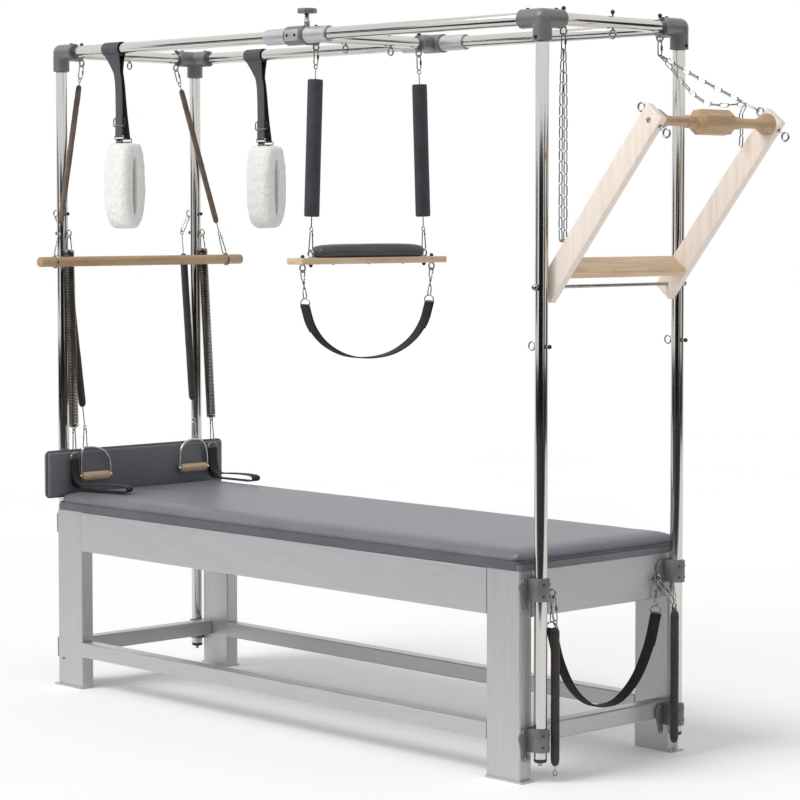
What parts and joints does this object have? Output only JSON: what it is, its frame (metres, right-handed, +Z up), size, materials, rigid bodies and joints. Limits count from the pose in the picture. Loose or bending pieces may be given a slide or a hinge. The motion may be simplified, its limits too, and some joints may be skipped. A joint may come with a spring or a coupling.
{
  "type": "pilates trapeze table",
  "caption": "Padded bench under a tubular canopy with a sliding crossbar, hanging trapeze, push-through bar, roll-down bar, springs, chains and straps for body conditioning.",
  "frame": {"origin": "centre of the bounding box at floor level, under the canopy's middle", "axes": "+X from the head end toward the foot end and its push-through bar, +Y from the near side to the far side, +Z up"},
  "size_m": [2.7478, 0.883, 2.241],
  "materials": {
    "bench_metal": "brushed silver sheet",
    "canopy_tube": "polished stainless tube",
    "corner_casting": "dark grey painted casting",
    "board": "dark edge-banded plywood",
    "upholstery": "smooth grey vinyl",
    "pale_wood": "lacquered pale maple",
    "fleece": "white curly fleece",
    "webbing": "black woven webbing",
    "spring_sleeve": "matt woven spring sleeve",
    "zinc_wire": "zinc-plated wire",
    "black_rubber": "matt black foam rubber"
  },
  "bodies": {
    "table_frame": {"head_leg_near": "bench_metal", "head_leg_far": "bench_metal", "foot_leg_near": "bench_metal", "foot_leg_far": "bench_metal", "side_rail_near": "bench_metal", "side_rail_far": "bench_metal", "head_rail": "bench_metal", "foot_rail": "bench_metal", "side_stretcher_near": "bench_metal", "side_stretcher_far": "bench_metal", "head_stretcher": "bench_metal", "foot_stretcher": "bench_metal", "mat_board": "board", "mat_cushion": "upholstery", "headboard_board": "board", "headboard_pad": "upholstery", "head_upright_near": "canopy_tube", "head_upright_far": "canopy_tube", "foot_upright_near": "canopy_tube", "foot_upright_far": "canopy_tube", "head_corner_near": "corner_casting", "head_corner_far": "corner_casting", "foot_corner_near": "corner_casting", "foot_corner_far": "corner_casting", "top_rail_near": "canopy_tube", "top_rail_far": "canopy_tube", "head_cross_tube": "canopy_tube", "foot_cross_tube": "canopy_tube", "chain_near": "zinc_wire", "chain_far": "zinc_wire"},
    "sliding_crossbar": {"crossbar": "canopy_tube"},
    "knob": {"lock_knob": "black_rubber"},
    "trapeze": {"trapeze_spring_near": "black_rubber", "trapeze_spring_far": "black_rubber", "trapeze_board": "pale_wood", "trapeze_cushion": "upholstery"},
    "sling": {"trapeze_sling": "webbing"},
    "push_bar": {"push_plank_near": "pale_wood", "push_plank_far": "pale_wood", "push_footrest": "pale_wood", "push_handle": "pale_wood", "push_pivot_rod": "zinc_wire"},
    "roll_down": {"roll_down_bar": "pale_wood", "roll_down_spring_near": "spring_sleeve", "roll_down_spring_far": "spring_sleeve"},
    "near_fleece": {"fleece_loop_near": "fleece"},
    "far_fleece": {"fleece_loop_far": "fleece"},
    "near_leg_spring": {"leg_spring_near": "zinc_wire", "foot_strap_near": "webbing"},
    "far_leg_spring": {"leg_spring_far": "zinc_wire", "foot_strap_far": "webbing"},
    "near_arm_spring": {"arm_spring_near": "spring_sleeve"},
    "far_arm_spring": {"arm_spring_far": "spring_sleeve"},
    "near_handle": {"handle_near": "zinc_wire"},
    "far_handle": {"handle_far": "zinc_wire"},
    "near_grip": {"handle_grip_near": "pale_wood"},
    "far_grip": {"handle_grip_far": "pale_wood"},
    "near_foot_spring": {"foot_spring_near": "spring_sleeve"},
    "far_foot_spring": {"foot_spring_far": "spring_sleeve"},
    "strap": {"safety_strap": "webbing"}
  },
  "joints": [
    {"name": "crossbar_slide", "type": "slide", "parent": "table_frame", "child": "sliding_crossbar", "axis": [1, 0, 0], "range_m": [-0.65, 0.79]},
    {"name": "knob_turn", "type": "hinge", "parent": "sliding_crossbar", "child": "knob", "pos_m": [-0.05832, -0.2925, 2.2], "axis": [0, 0, 1], "continuous": true},
    {"name": "trapeze_swing", "type": "hinge", "parent": "sliding_crossbar", "child": "trapeze", "pos_m": [-0.09732, 0, 2.1205], "axis": [0, 1, 0], "range_deg": [-60, 60]},
    {"name": "sling_swing", "type": "hinge", "parent": "trapeze", "child": "sling", "pos_m": [-0.09732, 0, 1.4379], "axis": [0, -1, 0], "range_deg": [-60, 60]},
    {"name": "push_bar_tilt", "type": "hinge", "parent": "table_frame", "child": "push_bar", "pos_m": [0.93448, 0, 1.407], "axis": [0, -1, 0], "range_deg": [0, 78], "deforming": ["chain_far", "chain_near"]},
    {"name": "roll_down_swing", "type": "hinge", "parent": "table_frame", "child": "roll_down", "pos_m": [-1.32312, 0, 2.1214], "axis": [0, -1, 0], "range_deg": [0, 16]},
    {"name": "near_fleece_swing", "type": "hinge", "parent": "table_frame", "child": "near_fleece", "pos_m": [-0.97432, -0.2925, 2.16], "axis": [1, 0, 0], "range_deg": [-60, 60]},
    {"name": "far_fleece_swing", "type": "hinge", "parent": "table_frame", "child": "far_fleece", "pos_m": [-0.93432, 0.2925, 2.16], "axis": [1, 0, 0], "range_deg": [-60, 60]},
    {"name": "near_leg_spring_swing", "type": "hinge", "parent": "table_frame", "child": "near_leg_spring", "pos_m": [-1.28562, -0.2925, 1.5305], "axis": [-1, 0, 0], "range_deg": [0, 30]},
    {"name": "far_leg_spring_swing", "type": "hinge", "parent": "table_frame", "child": "far_leg_spring", "pos_m": [-1.28562, 0.2925, 1.5305], "axis": [1, 0, 0], "range_deg": [0, 30]},
    {"name": "near_arm_spring_swing", "type": "hinge", "parent": "table_frame", "child": "near_arm_spring", "pos_m": [-1.36062, -0.2605, 1.54907], "axis": [0, -1, 0], "range_deg": [0, 25]},
    {"name": "far_arm_spring_swing", "type": "hinge", "parent": "table_frame", "child": "far_arm_spring", "pos_m": [-1.36062, 0.2605, 1.54907], "axis": [0, -1, 0], "range_deg": [0, 25]},
    {"name": "near_handle_swing", "type": "hinge", "parent": "near_arm_spring", "child": "near_handle", "pos_m": [-1.27232, -0.24, 0.875], "axis": [0, -1, 0], "range_deg": [0, 60]},
    {"name": "far_handle_swing", "type": "hinge", "parent": "far_arm_spring", "child": "far_handle", "pos_m": [-1.27232, 0.24, 0.875], "axis": [0, -1, 0], "range_deg": [0, 60]},
    {"name": "near_grip_turn", "type": "hinge", "parent": "near_handle", "child": "near_grip", "pos_m": [-1.27232, -0.196, 0.711], "axis": [0, 1, 0], "continuous": true},
    {"name": "far_grip_turn", "type": "hinge", "parent": "far_handle", "child": "far_grip", "pos_m": [-1.27232, 0.237, 0.711], "axis": [0, 1, 0], "continuous": true},
    {"name": "near_foot_spring_swing", "type": "hinge", "parent": "table_frame", "child": "near_foot_spring", "pos_m": [0.92098, -0.227, 0.5285], "axis": [0, -1, 0], "range_deg": [0, 80]},
    {"name": "far_foot_spring_swing", "type": "hinge", "parent": "table_frame", "child": "far_foot_spring", "pos_m": [0.92098, 0.227, 0.5285], "axis": [0, -1, 0], "range_deg": [0, 80]},
    {"name": "safety_strap_swing", "type": "hinge", "parent": "table_frame", "child": "strap", "pos_m": [0.91438, 0, 0.5285], "axis": [0, -1, 0], "range_deg": [-7, 8]}
  ]
}
